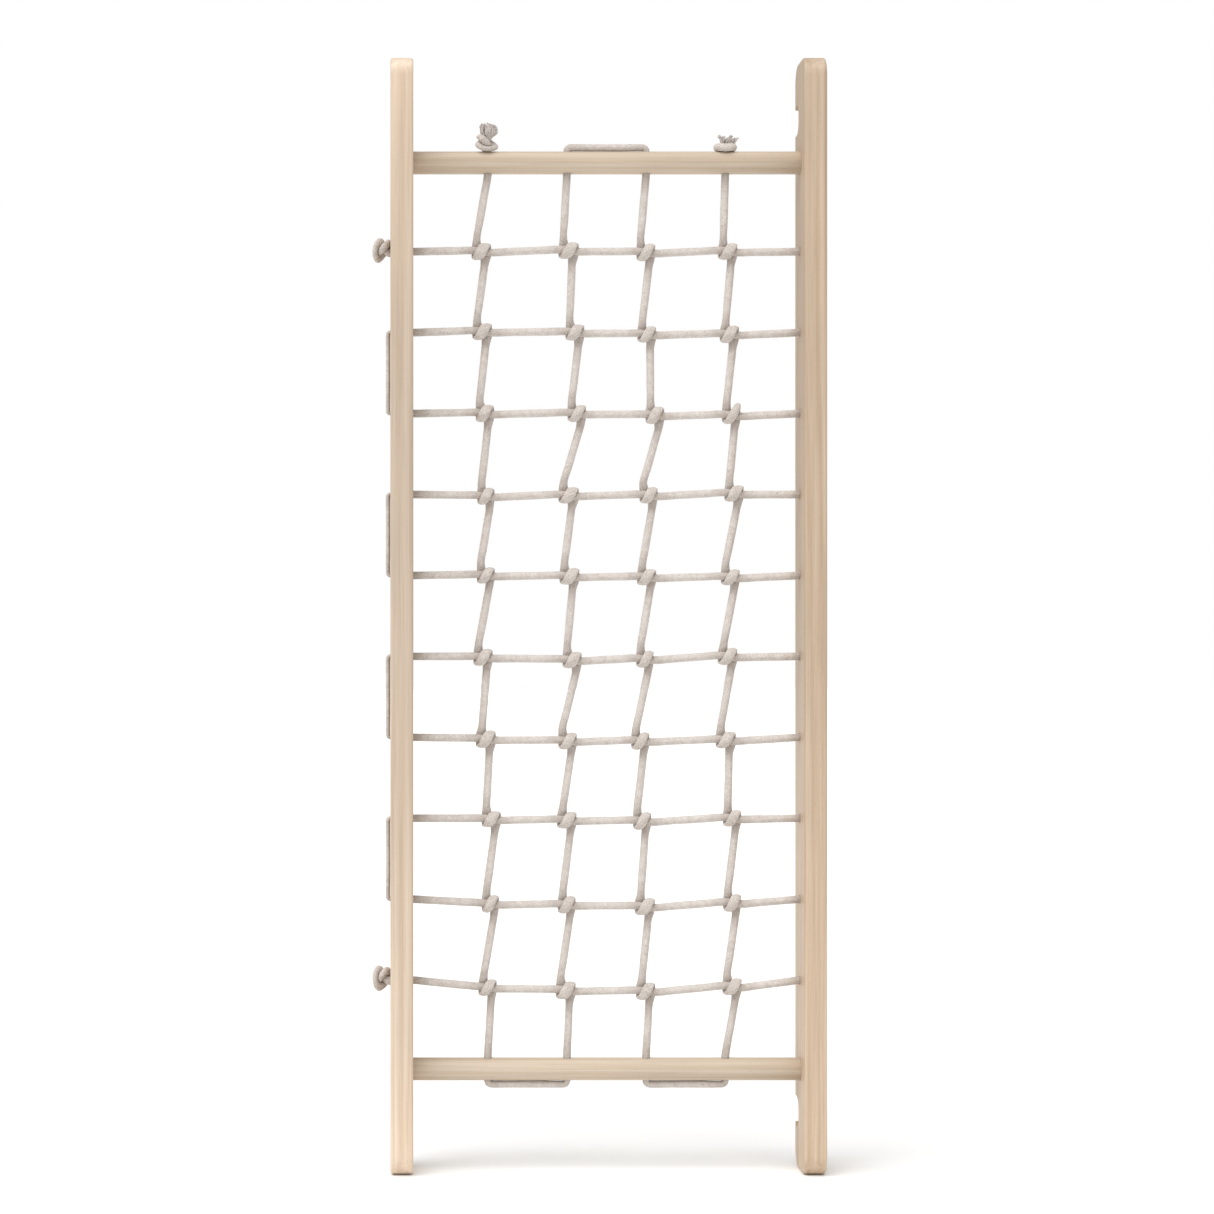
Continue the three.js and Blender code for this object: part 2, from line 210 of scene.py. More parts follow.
# Colours are the dark bands, the ground and the pale bands. Each of the lengths is a place along the
# piece, as a share of it from its low end, with how light the board is there: partly its own tone and
# partly painted light and shade.
def makeBirch(name, axis, colours, offset, lengths):
    material, tree, shader = startMaterial(name)
    bandPlaces = grainPlaces(tree, axis, birch["bandWidth"], birch["bandLength"], offset)
    bands = addNode(tree, "TexNoise", {"Vector": bandPlaces, "Scale": 1, "Detail": 2, "Distortion": 0.5})
    grainAt = grainPlaces(tree, axis, birch["grainWidth"], birch["grainLength"], offset)
    grain = addNode(tree, "TexNoise", {"Vector": grainAt, "Scale": 1, "Detail": 4, "Roughness": 0.6})
    fleckAt = grainPlaces(tree, axis, birch["fleckWidth"], birch["fleckLength"], offset)
    flecks = addNode(tree, "TexNoise", {"Vector": fleckAt, "Scale": 1, "Detail": 1})
    cloudAt = grainPlaces(tree, axis, 35 * mm, 160 * mm, offset)
    clouds = addNode(tree, "TexNoise", {"Vector": cloudAt, "Scale": 1, "Detail": 1})
    dark, middle, pale = colours
    base = ramp(tree, bands.outputs["Fac"], [(0.3, dark), (0.5, middle), (0.7, pale)])
    grainTone = ramp(tree, grain.outputs["Fac"], [(0.3, 0.84), (0.55, 1.0)])
    fleckTone = ramp(tree, flecks.outputs["Fac"], [(0.26, 0.76), (0.36, 1.0)])
    cloudTone = ramp(tree, clouds.outputs["Fac"], [(0.3, 0.93), (0.7, 1.0)])
    colour = blend(tree, "MULTIPLY", 0.8, base, grainTone)
    colour = blend(tree, "MULTIPLY", 0.6, colour, fleckTone)
    colour = blend(tree, "MULTIPLY", 1.0, colour, cloudTone)
    low, high = (corner["XYZ".index(axis)] for corner in cadBox)
    parts = addNode(tree, "SeparateXYZ", {"Vector": addNode(tree, "TexCoord").outputs["Object"]})
    share = addNode(tree, "MapRange", {"Value": parts.outputs[axis], "From Min": low, "From Max": high})
    # painted light and shade along the piece, mixed with the board's own tone
    colour = blend(tree, "MULTIPLY", 1.0, colour, ramp(tree, share.outputs["Result"], lengths))
    tree.links.new(colour, shader.inputs["Base Color"])
    smooth, rough = birch["roughness"]
    gloss = addNode(tree, "MapRange", {"Value": grain.outputs["Fac"], "To Min": smooth, "To Max": rough})
    tree.links.new(gloss.outputs["Result"], shader.inputs["Roughness"])
    height = addNode(
        tree, "Math", {0: grain.outputs["Fac"], 1: flecks.outputs["Fac"]}, operation="ADD"
    )
    bump = addNode(
        tree, "Bump", {"Height": height.outputs[0], "Distance": birch["grainDepth"], "Strength": 0.6}
    )
    tree.links.new(bump.outputs["Normal"], shader.inputs["Normal"])
    shader.inputs["IOR"].default_value = 1.5
    shader.inputs["Coat Weight"].default_value = 0.12
    shader.inputs["Coat Roughness"].default_value = 0.35
    return material


# Birch end grain, sanded flush: close growth rings, darker and duller because it drinks the oil
def makeEndGrain(name, colours):
    material, tree, shader = startMaterial(name)
    places = addNode(tree, "TexCoord").outputs["Object"]
    tilted = addNode(tree, "Mapping", {"Vector": places, "Rotation": (0.5, 0, 0.2)})
    rings = addNode(
        tree,
        "TexWave",
        {"Vector": tilted.outputs["Vector"], "Scale": 1 / (2.2 * mm * 20), "Distortion": 1.5, "Detail": 2},
        bands_direction="Z",
    )
    pores = addNode(tree, "TexNoise", {"Vector": places, "Scale": 1 / (0.4 * mm), "Detail": 2})
    tone = ramp(tree, pores.outputs["Fac"], [(0.35, 0.75), (0.6, 1.0)])
    colour = ramp(tree, rings.outputs["Fac"], [(0.1, colours[0]), (0.8, colours[1])])
    tree.links.new(blend(tree, "MULTIPLY", 0.7, colour, tone), shader.inputs["Base Color"])
    shader.inputs["Roughness"].default_value = 0.62
    bump = addNode(tree, "Bump", {"Height": pores.outputs["Fac"], "Distance": 0.05 * mm, "Strength": 0.5})
    tree.links.new(bump.outputs["Normal"], shader.inputs["Normal"])
    return material


# Bright zinc plate on steel screws: bluish grey, slightly cloudy from the plating bath
def makeZinc(name):
    material, tree, shader = startMaterial(name)
    places = addNode(tree, "TexCoord").outputs["Object"]
    cloud = addNode(tree, "TexNoise", {"Vector": places, "Scale": 1 / (2 * mm), "Detail": 3})
    colour = ramp(tree, cloud.outputs["Fac"], [(0.3, "9b9ea3"), (0.7, "c4c6c8")])
    tree.links.new(colour, shader.inputs["Base Color"])
    rough = addNode(tree, "MapRange", {"Value": cloud.outputs["Fac"], "To Min": 0.25, "To Max": 0.4})
    tree.links.new(rough.outputs["Result"], shader.inputs["Roughness"])
    shader.inputs["Metallic"].default_value = 1
    return material


# Undyed cotton, braided from sixteen strands over a core: pale pinkish grey, matt and a little fuzzy,
# grainy from the crossing strands, with brown specks of seed, painted shade in the braid's valleys, and
# greyer places that are partly rubbed by the knots and partly painted shade beside the knots and where the
# rope enters the wood.
braid = {
    "strandsEachWay": 8,
    "strandRise": 4.2 * mm,  # along the rope from one strand to the next of the same hand
    "relief": 0.12 * mm,
    "yarn": 0.7 * mm,
}


def makeCotton(name, colours):
    material, tree, shader = startMaterial(name)
    uv = addNode(tree, "UVMap", uv_map="along")
    parts = addNode(tree, "SeparateXYZ", {"Vector": uv.outputs["UV"]})

    def reckon(operation, first, second=0.0):
        return addNode(tree, "Math", {0: first, 1: second}, operation=operation).outputs[0]

    around = reckon("MULTIPLY", parts.outputs["X"], braid["strandsEachWay"])
    along = reckon("DIVIDE", parts.outputs["Y"], braid["strandRise"])
    right = reckon("ADD", around, along)
    left = reckon("SUBTRACT", around, along)
    # which hand of strand lies on top alternates like a chequer board
    count = reckon("ADD", reckon("FLOOR", right), reckon("FLOOR", left))
    onTop = reckon("MULTIPLY", reckon("FRACT", reckon("MULTIPLY", count, 0.5)), 2.0)

    def ridge(position):
        return reckon("ABSOLUTE", reckon("SINE", reckon("MULTIPLY", position, math.pi)))

    ridges = addNode(tree, "Mix", {"Factor": onTop, "A": ridge(left), "B": ridge(right)}, data_type="FLOAT")
    height = ridges.outputs["Result"]
    places = addNode(tree, "TexCoord").outputs["Object"]

    def noise(size, detail, roughness):
        inputs = {"Vector": places, "Scale": 1 / size, "Detail": detail, "Roughness": roughness}
        return addNode(tree, "TexNoise", inputs).outputs["Fac"]

    fuzz = noise(braid["yarn"], 5, 0.7)
    dark, pale = colours
    base = ramp(tree, noise(6 * mm, 3, 0.6), [(0.3, dark), (0.65, pale)])
    # painted shade: the colour is darker in the valleys between the braid's strands
    paintedValleyShade = ramp(tree, height, [(0.0, 0.72), (0.55, 1.0)])
    grainTone = ramp(tree, noise(1.9 * mm, 3, 0.65), [(0.36, 0.8), (0.6, 1.0)])
    speckTone = ramp(tree, noise(1.3 * mm, 2, 0.4), [(0.27, "b8a394"), (0.35, "ffffff")])
    fuzzTone = ramp(tree, fuzz, [(0.3, 0.86), (0.6, 1.0)])
    wearAndPaintedShade = addNode(tree, "Attribute", attribute_name="wearAndPaintedShade").outputs["Fac"]
    colour = blend(tree, "MULTIPLY", 0.8, base, paintedValleyShade)
    colour = blend(tree, "MULTIPLY", 0.7, colour, grainTone)
    colour = blend(tree, "MULTIPLY", 0.8, colour, speckTone)
    colour = blend(tree, "MULTIPLY", 0.8, colour, fuzzTone)
    # greyer where rubbed, and painted shade beside the knots and where the rope goes into the wood
    colour = blend(tree, "MULTIPLY", wearAndPaintedShade, colour, linear("b9ada2"))
    tree.links.new(colour, shader.inputs["Base Color"])
    surface = reckon("ADD", height, reckon("MULTIPLY", fuzz, 0.9))
    bump = addNode(tree, "Bump", {"Height": surface, "Distance": 0.3 * mm, "Strength": 0.8})
    tree.links.new(bump.outputs["Normal"], shader.inputs["Normal"])
    shader.inputs["Roughness"].default_value = 0.92
    shader.inputs["Sheen Weight"].default_value = 0.15
    shader.inputs["Sheen Roughness"].default_value = 0.6
    shader.inputs["Specular IOR Level"].default_value = 0.2
    return material


# The brightness stops along each piece are partly the board's own tone and partly painted light and shade
railBirch = {
    "left": makeBirch(
        "oiledBirchLeftRail", "Z", ("dac1a7", "e6cfb7", "f0dcc5"), 0.0,
        [(0.0, 1.0), (0.13, 0.86), (0.28, 0.82), (0.45, 0.72), (0.7, 0.69), (0.84, 0.8), (1.0, 0.97)],
    ),
    "right": makeBirch(
        "oiledBirchRightRail", "Z", ("c2a78c", "ceb59a", "d9c2a9"), 0.61,
        [(0.0, 1.0), (0.28, 0.98), (0.42, 0.88), (1.0, 0.83)],
    ),
}
rungBirch = makeBirch(
    "oiledBirchRung", "X", ("cdb79f", "d8c4ac", "e0cfba"), 0.37, [(0.0, 0.81), (0.5, 0.87), (1.0, 0.78)]
)
plugBirch = makeEndGrain("birchEndGrain", ("ae8f6e", "c8ab8c"))
zinc = makeZinc("zincPlatedSteel")
cotton = makeCotton("braidedCotton", ("d3c9c1", "e3dbd4"))
print("materials made")

studio = {
    "floorSize": 40,
    "floorColour": "f9f9f8",
    "skyLight": 0.62,  # the white surroundings as a lamp
    "keyFrom": (-0.3, -0.46, 1.0),  # a big soft lamp, above and a little in front on the left
    "keyPower": 2.35,
    "keySpread": 55,  # degrees, how large it looks from the panel
}


def makeFloor():
    bpy.ops.mesh.primitive_plane_add(size=studio["floorSize"], location=(0, 0, 0))
    floor = bpy.context.object
    floor.name = "floor"
    material, tree, shader = startMaterial("mattWhitePaint")
    places = addNode(tree, "TexCoord").outputs["Object"]
    tone = addNode(tree, "TexNoise", {"Vector": places, "Scale": 1.5, "Detail": 2})
    colour = ramp(tree, tone.outputs["Fac"], [(0.3, studio["floorColour"]), (0.7, "fbfbfa")])
    tree.links.new(colour, shader.inputs["Base Color"])
    shader.inputs["Roughness"].default_value = 0.9
    shader.inputs["Specular IOR Level"].default_value = 0.1
    floor.data.materials.append(material)


def makeLight():
    world = bpy.data.worlds.new("studio")
    world.use_nodes = True
    tree = world.node_tree
    sky = tree.nodes["Background"]
    sky.inputs["Color"].default_value = (1, 1, 1, 1)
    sky.inputs["Strength"].default_value = studio["skyLight"]
    bright = addNode(tree, "Background", {"Color": (1, 1, 1, 1), "Strength": 1.0})
    seen = addNode(tree, "LightPath").outputs["Is Camera Ray"]
    both = addNode(tree, "MixShader", {0: seen, 1: sky.outputs[0], 2: bright.outputs[0]})
    tree.links.new(both.outputs[0], tree.nodes["World Output"].inputs["Surface"])
    bpy.context.scene.world = world
    data = bpy.data.lights.new("softKey", "SUN")
    data.energy = studio["keyPower"]
    data.angle = math.radians(studio["keySpread"])
    lamp = bpy.data.objects.new("softKey", data)
    lamp.rotation_euler = Vector(studio["keyFrom"]).to_track_quat("Z", "Y").to_euler()
    bpy.context.scene.collection.objects.link(lamp)
    bpy.context.scene.view_settings.view_transform = "Standard"


makeFloor()
makeLight()
print("studio ready")


def deselectAll():
    bpy.ops.object.select_all(action="DESELECT")


# Takes the primitive just added as a piece, with its place in its mesh
def takePiece(name):
    piece = bpy.context.object
    piece.name = name
    bpy.ops.object.transform_apply(location=True, rotation=True, scale=True)
    return piece


def addBox(name, low, high):
    deselectAll()
    middle = (Vector(low) + Vector(high)) / 2
    bpy.ops.mesh.primitive_cube_add(size=1, location=middle, scale=Vector(high) - Vector(low))
    return takePiece(name)


turnOf = {"X": (0, math.pi / 2, 0), "Z": (0, 0, 0)}


def addRod(name, axis, start, end, radius, sides):
    deselectAll()
    start, end = Vector(start), Vector(end)
    bpy.ops.mesh.primitive_cylinder_add(
        vertices=sides,
        radius=radius,
        depth=(end - start).length,
        location=(start + end) / 2,
        rotation=turnOf[axis],
        end_fill_type="NGON",
    )
    return takePiece(name)


# Runs operators on the edges whose two ends pass the test
def shapeEdges(piece, test, operator, **settings):
    deselectAll()
    bpy.context.view_layer.objects.active = piece
    piece.select_set(True)
    bpy.ops.object.mode_set(mode="EDIT")
    bpy.context.tool_settings.mesh_select_mode = (False, True, False)
    bpy.ops.mesh.select_all(action="DESELECT")
    mesh = bmesh.from_edit_mesh(piece.data)
    for edge in mesh.edges:
        edge.select_set(test(edge))
    bmesh.update_edit_mesh(piece.data)
    operator(**settings)
    bpy.ops.object.mode_set(mode="OBJECT")


# Cuts the cutters out of a piece and deletes them
def cutOut(piece, cutters):
    for cutter in cutters:
        deselectAll()
        bpy.context.view_layer.objects.active = piece
        piece.select_set(True)
        cut = piece.modifiers.new("cut", "BOOLEAN")
        cut.operation = "DIFFERENCE"
        cut.solver = "MANIFOLD"
        cut.object = cutter
        bpy.ops.object.modifier_apply(modifier=cut.name)
        bpy.data.objects.remove(cutter)


def smoothByAngle(piece, degrees=35):
    deselectAll()
    bpy.context.view_layer.objects.active = piece
    piece.select_set(True)
    bpy.ops.object.shade_smooth_by_angle(angle=math.radians(degrees))


# Lets the broad faces set the shading, so that the flats beside a rounded edge look flat
def evenNormals(piece):
    weigh = piece.modifiers.new("weigh", "WEIGHTED_NORMAL")
    weigh.keep_sharp = True
    bpy.ops.object.modifier_apply(modifier=weigh.name)


def finishPiece(piece, material, slot, *nodes):
    piece.data.materials.clear()
    piece.data.materials.append(material)
    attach(piece, "root")
    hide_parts(*nodes)


rail = {
    "corner": 22 * mm,  # the ends, seen from the side
    "cornerSteps": 14,
    "arris": 3 * mm,
    "arrisSteps": 5,
    "holeArris": 0.7 * mm,
    "hookOpening": 30 * mm,
    "hookFromEnd": 63 * mm,
    "hookReach": 29 * mm,
    "hookNest": 4 * mm,  # how far the seat rises behind its lip
    "hookSteps": 12,
    "lipSteps": 5,
    "socketClearance": 0.3 * mm,
    "socketWall": 13.1 * mm,  # from the outer face to the bottom of a rung's socket
    "plugHole": 5.15 * mm,
    "plugDepth": 5.3 * mm,
}


# The cutter of a hook notch: a box from the back edge with a round inner end, whose outer part is
# lowered along an arc, which leaves the lip
def makeHookCutter(low, high, end):
    radius = rail["hookOpening"] / 2
    upward = 1 if end == "top" else -1
    middleZ = high.z - rail["hookFromEnd"] if end == "top" else low.z + rail["hookFromEnd"]
    innerY = high.y - rail["hookReach"]
    centreY = innerY + radius
    mouthY = high.y + 5 * mm
    nearZ = middleZ - upward * radius
    seatZ = middleZ + upward * (radius + rail["hookNest"])
    bottom, top = sorted((nearZ, seatZ))
    cutter = addBox("hookCutter", (low.x - 5 * mm, innerY, bottom), (high.x + 5 * mm, mouthY, top))

    def innerCorner(edge):
        return all(abs(v.co.y - innerY) < 0.1 * mm for v in edge.verts) and (
            abs(edge.verts[0].co.x - edge.verts[1].co.x) > 10 * mm
        )

    shapeEdges(
        cutter, innerCorner, bpy.ops.mesh.bevel,
        offset=radius, segments=rail["hookSteps"], affect="EDGES", clamp_overlap=False,
    )
    lipAngle = math.acos((radius - rail["hookNest"]) / radius)
    bpy.ops.object.mode_set(mode="EDIT")
    for step in range(1, rail["lipSteps"] + 1):
        angle = lipAngle * step / rail["lipSteps"]
        bpy.ops.mesh.select_all(action="SELECT")
        place = (0, centreY + radius * math.sin(angle), 0)
        bpy.ops.mesh.bisect(plane_co=place, plane_no=(0, 1, 0))
    bpy.ops.object.mode_set(mode="OBJECT")
    fallen = 0
    for step in range(1, rail["lipSteps"] + 1):
        angle = lipAngle * step / rail["lipSteps"]
        fromY = centreY + radius * math.sin(angle) - 0.05 * mm
        drop = radius * (1 - math.cos(angle)) - fallen
        fallen += drop
        bpy.ops.object.mode_set(mode="EDIT")
        bpy.context.tool_settings.mesh_select_mode = (True, False, False)
        bpy.ops.mesh.select_all(action="DESELECT")
        mesh = bmesh.from_edit_mesh(cutter.data)
        for vertex in mesh.verts:
            raised = upward * (vertex.co.z - middleZ) > radius - 0.05 * mm
            vertex.select_set(vertex.co.y > fromY and raised)
        bmesh.update_edit_mesh(cutter.data)
        bpy.ops.transform.translate(value=(0, 0, -upward * drop))
        bpy.ops.object.mode_set(mode="OBJECT")
    return cutter


# Widens both ends of a hole's cutter in two steps, which rounds over the rim of the hole
def flareEnds(cutter, lowEnd, highEnd, z):
    rim = rail["holeArris"]
    for end, way in ((lowEnd, -1), (highEnd, 1)):
        deselectAll()
        bpy.context.view_layer.objects.active = cutter
        cutter.select_set(True)
        bpy.ops.object.mode_set(mode="EDIT")
        bpy.context.tool_settings.mesh_select_mode = (False, False, True)
        bpy.ops.mesh.select_all(action="DESELECT")
        mesh = bmesh.from_edit_mesh(cutter.data)
        for face in mesh.faces:
            face.select_set(abs(face.calc_center_median().x - end) < 0.01 * mm)
        bmesh.update_edit_mesh(cutter.data)
        reach, radius = end, net["holeRadius"]
        for step, wider in ((0.7 * rim, 0.3 * rim), (0.3 * rim, 0.7 * rim), (5 * mm, 0)):
            bpy.ops.mesh.extrude_region_move(TRANSFORM_OT_translate={"value": (way * step, 0, 0)})
            reach += way * step
            grow = (radius + wider) / radius
            radius += wider
            bpy.ops.transform.resize(value=(1, grow, grow), center_override=(reach, 0, z))
        bpy.ops.object.mode_set(mode="OBJECT")
    return cutter


def makeRail(name, side):
    low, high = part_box(name)
    piece = addBox("wooden_" + name, low, high)
    tiny = 0.01 * mm

    def acrossRail(edge):
        return abs(edge.verts[0].co.x - edge.verts[1].co.x) > tiny

    shapeEdges(
        piece, acrossRail, bpy.ops.mesh.bevel,
        offset=rail["corner"], segments=rail["cornerSteps"], affect="EDGES",
    )

    def onFace(edge):
        return any(all(abs(v.co.x - x) < tiny for v in edge.verts) for x in (low.x, high.x))

    shapeEdges(
        piece, onFace, bpy.ops.mesh.bevel,
        offset=rail["arris"], segments=rail["arrisSteps"], affect="EDGES",
    )
    cutOut(piece, [makeHookCutter(low, high, end) for end in ("top", "bottom")])
    outer = midX + side * railOut
    inner = midX + side * railIn
    over = 5 * mm
    cutters = []
    rim = rail["holeArris"]
    for row in range(net["rows"]):
        places = [(x, 0, rowZ(row)) for x in (low.x + rim, high.x - rim)]
        cutter = addRod("holeCutter", "X", *places, net["holeRadius"], 40)
        cutters.append(flareEnds(cutter, low.x + rim, high.x - rim, rowZ(row)))
    for z in rungZ.values():
        socket = [(x, 0, z) for x in (inner - side * over, outer - side * rail["socketWall"])]
        plugHole = [(x, 0, z) for x in (outer - side * rail["plugDepth"], outer + side * over)]
        socketRadius = rungRadius + rail["socketClearance"]
        cutters.append(addRod("socketCutter", "X", *socket, socketRadius, 96))
        cutters.append(addRod("plugCutter", "X", *plugHole, rail["plugHole"], 48))
    cutOut(piece, cutters)

    smoothByAngle(piece)
    evenNormals(piece)
    finishPiece(piece, railBirch[name.split("_")[0]], "rail_wood", name)


for name, side in (("left_rail", -1), ("right_rail", 1)):
    makeRail(name, side)
print("rails made")

rung = {"sides": 120, "ropeHoleSides": 40, "endArris": 1 * mm}


def makeRung(end):
    low, high = rungBoxes[end]
    z = rungZ[end]
    piece = addRod(f"turned_{end}_rung", "X", (low.x, 0, z), (high.x, 0, z), rungRadius, rung["sides"])

    def endRim(edge):
        return any(all(abs(v.co.x - x) < 0.01 * mm for v in edge.verts) for x in (low.x, high.x))

    shapeEdges(piece, endRim, bpy.ops.mesh.bevel, offset=rung["endArris"], segments=3, affect="EDGES")
    cutters = []
    for column in range(net["columns"]):
        x = columnX(column)
        places = [(x, 0, z - 2 * rungRadius), (x, 0, z + 2 * rungRadius)]
        cutters.append(addRod("holeCutter", "Z", *places, net["holeRadius"], rung["ropeHoleSides"]))
    cutOut(piece, cutters)
    smoothByAngle(piece)
    finishPiece(piece, rungBirch, "rung_wood", f"{end}_rung")


for end in rungZ:
    makeRung(end)
print("rungs made")


# Plugs are cut across the grain, so their end grain shows, with a hair of glue line round them
def makePlug(end, name):
    node = f"screw_plug_{end}_{name}"
    low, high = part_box(node)
    z = rungZ[end]
    radius = (high.z - low.z) / 2
    piece = addRod(f"end_grain_plug_{end}_{name}", "X", (low.x, 0, z), (high.x, 0, z), radius, 64)

    def rim(edge):
        return any(all(abs(v.co.x - x) < 0.01 * mm for v in edge.verts) for x in (low.x, high.x))

    shapeEdges(piece, rim, bpy.ops.mesh.bevel, offset=0.35 * mm, segments=3, affect="EDGES")
    smoothByAngle(piece)
    finishPiece(piece, plugBirch, "plug_wood", node)


for end in rungZ:
    for name in ("left", "right"):
        makePlug(end, name)
        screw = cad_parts[f"rung_screw_{end}_{name}"]
        screw.data.materials.clear()
        screw.data.materials.append(zinc)
print("plugs and screws made")

rope = {
    "sides": 30,
    "step": 1.1 * mm,  # between rings
    "unevenness": 0.06,  # share of the radius by which hand-pulled rope thins and swells
}


# A smooth curve through the keys, resampled evenly. A key is a row of numbers whose first three are
# its place; the rest, such as half-sizes, are carried along.
def throughKeys(keys, step):
    keys = np.array(keys, float)
    gaps = np.linalg.norm(np.diff(keys[:, :3], axis=0), axis=1) ** 0.5
    knots = np.concatenate([[0], np.cumsum(gaps)])
    padded = np.vstack([2 * keys[0] - keys[1], keys, 2 * keys[-1] - keys[-2]])
    times = np.concatenate([[knots[0] - gaps[0]], knots, [knots[-1] + gaps[-1]]])
    fine = []
    for i in range(1, len(padded) - 2):
        t0, t1, t2, t3 = times[i - 1 : i + 3]
        p0, p1, p2, p3 = padded[i - 1 : i + 3]
        for t in np.linspace(t1, t2, 12, endpoint=False):
            a1 = (t1 - t) / (t1 - t0) * p0 + (t - t0) / (t1 - t0) * p1
            a2 = (t2 - t) / (t2 - t1) * p1 + (t - t1) / (t2 - t1) * p2
            a3 = (t3 - t) / (t3 - t2) * p2 + (t - t2) / (t3 - t2) * p3
            b1 = (t2 - t) / (t2 - t0) * a1 + (t - t0) / (t2 - t0) * a2
            b2 = (t3 - t) / (t3 - t1) * a2 + (t - t1) / (t3 - t1) * a3
            fine.append((t2 - t) / (t2 - t1) * b1 + (t - t1) / (t2 - t1) * b2)
    fine.append(keys[-1])
    fine = np.array(fine)
    lengths = np.concatenate([[0], np.cumsum(np.linalg.norm(np.diff(fine[:, :3], axis=0), axis=1))])
    count = max(2, int(round(lengths[-1] / step)) + 1)
    even = np.linspace(0, lengths[-1], count)
    return np.stack([np.interp(even, lengths, fine[:, k]) for k in range(fine.shape[1])], axis=1)


def unit(vectors):
    return vectors / np.maximum(np.linalg.norm(vectors, axis=1, keepdims=True), 1e-12)


# How high the braid stands at each place, 0 in a valley and 1 on a strand
def braidHeight(turn, along):
    right = braid["strandsEachWay"] * turn + along / braid["strandRise"]
    left = braid["strandsEachWay"] * turn - along / braid["strandRise"]
    rightOnTop = (np.floor(right) + np.floor(left)) % 2 > 0.5
    over = np.abs(np.sin(math.pi * right))
    under = np.abs(np.sin(math.pi * left))
    return np.where(rightOnTop, over, under)


# Sweeps the braid along a path. Each row of the path holds a place, the direction that the section's
# first half-size points in, the two half-sizes and how grey the rope is there, partly from rubbing and
# partly painted shade.
def sweepRope(name, path, fromLength=0.0, sides=None):
    sides = sides or rope["sides"]
    places = path[:, :3]
    tangents = unit(np.gradient(places, axis=0))
    first = path[:, 3:6] - tangents * np.sum(path[:, 3:6] * tangents, axis=1, keepdims=True)
    first = unit(first)
    second = np.cross(tangents, first)
    steps = np.linalg.norm(np.diff(places, axis=0), axis=1)
    along = fromLength + np.concatenate([[0], np.cumsum(steps)])
    turns = np.arange(sides) / sides
    angles = turns * 2 * math.pi
    lift = braid["relief"] * (braidHeight(turns[None, :], along[:, None]) - 0.6)
    waves = np.sin(along / (23 * mm)) * 0.5 + np.sin(along / (9.7 * mm) + 1) * 0.5
    thick = 1 + rope["unevenness"] * 0.5 * waves[:, None]
    towardFirst = np.cos(angles)[None, :] * (path[:, 6:7] * thick + lift)
    towardSecond = np.sin(angles)[None, :] * (path[:, 7:8] * thick + lift)
    rings = (
        places[:, None, :]
        + towardFirst[:, :, None] * first[:, None, :]
        + towardSecond[:, :, None] * second[:, None, :]
    )
    count = len(places)
    verts = rings.reshape(-1, 3).tolist() + [places[0].tolist(), places[-1].tolist()]
    faces = []
    uvs = []
    for ring in range(count - 1):
        for side in range(sides):
            after = (side + 1) % sides
            a, b = ring * sides + side, ring * sides + after
            faces.append((a, b, b + sides, a + sides))
            u0, u1 = side / sides, (side + 1) / sides
            uvs += [(u0, along[ring]), (u1, along[ring]), (u1, along[ring + 1]), (u0, along[ring + 1])]
    for side in range(sides):
        after = (side + 1) % sides
        last = (count - 1) * sides
        faces.append((side, count * sides, after))
        faces.append((last + after, count * sides + 1, last + side))
        u0, u1 = side / sides, (side + 1) / sides
        uvs += [(u0, along[0]), (u0, along[0] - 2 * mm), (u1, along[0])]
        uvs += [(u1, along[-1]), (u0, along[-1] + 2 * mm), (u0, along[-1])]
    mesh = bpy.data.meshes.new(name)
    mesh.from_pydata(verts, [], faces)
    layer = mesh.uv_layers.new(name="along")
    layer.data.foreach_set("uv", np.array(uvs, np.float32).ravel())
    # how grey each point is: rubbed wear and painted shade
    shade = mesh.attributes.new("wearAndPaintedShade", "FLOAT", "POINT")
    wearAndPaintedShade = np.concatenate([np.repeat(path[:, 8], sides), path[[0, -1], 8]])
    shade.data.foreach_set("value", wearAndPaintedShade.astype(np.float32))
    mesh.polygons.foreach_set("use_smooth", [True] * len(faces))
    mesh.update()
    piece = bpy.data.objects.new(name, mesh)
    bpy.context.scene.collection.objects.link(piece)
    return piece


back = (0, 1, 0)


# The last number greys the rope there: partly rubbed wear, partly painted shade.
def key(place, normal, halves, wearAndPaintedShade=0.0):
    return [*place, *normal, *halves, wearAndPaintedShade]


crossing = {
    "lead": 4.8 * mm,  # the column rope passes this far left, then right, of a crossing
    "squash": (2.5 * mm, 5.6 * mm),  # half-sizes of the turn round the row rope
    "rowStep": 1.1 * mm,  # the row rope is pushed up on the left of a knot and down on the right
    "rowForward": 1.2 * mm,  # and forward, because the column rope runs behind it
    "columnBack": 2.2 * mm,
    "from": 50,  # degrees round the row rope, from the top towards the back
    "to": 490,
    "stepAngle": 20,
    "crossFrom": 150,  # degrees at which the turn starts across from left to right
    "crossOver": 240,
    "late": 14,  # most that it starts early or late
    "unlike": 0.1,  # how much one knot differs from the next, as a share
    "above": 14 * mm,  # from a crossing to where the column rope arrives and leaves
    "below": 15 * mm,
    "aside": (-1.1, 0.7),  # how far off its line it arrives, mm
    "inward": (0.9, 1.7),
    "rowReach": 9 * mm,  # each way from a crossing, where the row rope is pushed
    "pulledOut": (2, 3),  # the row and column of a knot whose upper turn stands out in a point
    "pulledBy": 3.5 * mm,
    "pointAt": 345,  # degrees
    "pointWidth": 32,
}


def roundKey(place, wearAndPaintedShade=0.0):
    return key(place, back, (net["ropeRadius"], net["ropeRadius"]), wearAndPaintedShade)


